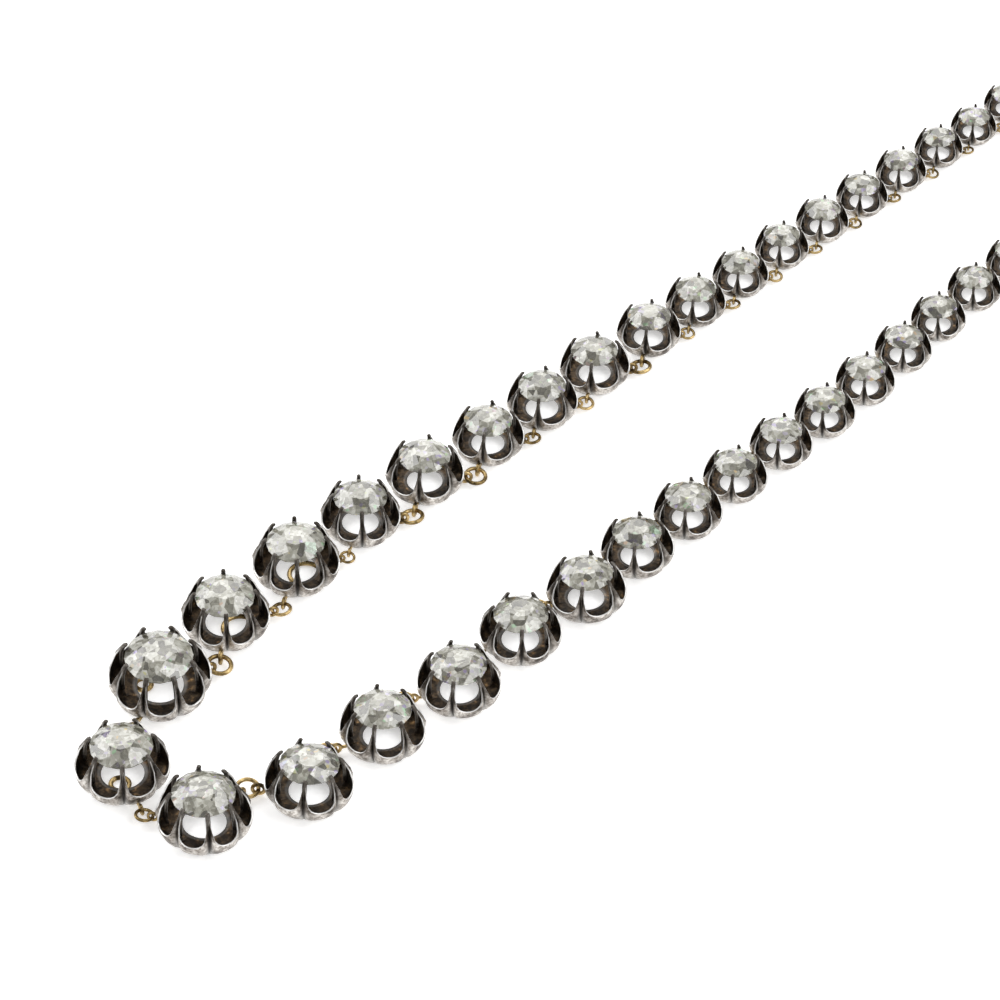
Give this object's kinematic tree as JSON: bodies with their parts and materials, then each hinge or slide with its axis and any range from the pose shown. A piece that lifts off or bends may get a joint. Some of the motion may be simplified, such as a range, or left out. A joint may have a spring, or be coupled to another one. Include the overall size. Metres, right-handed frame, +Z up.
{
  "type": "riviere necklace",
  "caption": "Graduated riviere necklace of round stones in scalloped claw cups, joined by small rings into one closed loop with a plain clasp, lying flat.",
  "frame": {"origin": "middle of the loop's outline, on the surface that it lies on", "axes": "+Z up from the surface, +Y from the front turn with the largest stones towards the clasp, +X across the loop"},
  "size_m": [0.0323, 0.1947, 0.007],
  "materials": {
    "silver": "old silver, dark in the hollows and brighter on the edges",
    "stone": "polished facets",
    "gold": "worn yellow gold"
  },
  "bodies": {
    "root": {"settings_left": "silver", "settings_right": "silver", "stones_left": "stone", "stones_right": "stone", "rings_left": "gold", "rings_right": "gold", "clasp": "gold"}
  },
  "joints": []
}
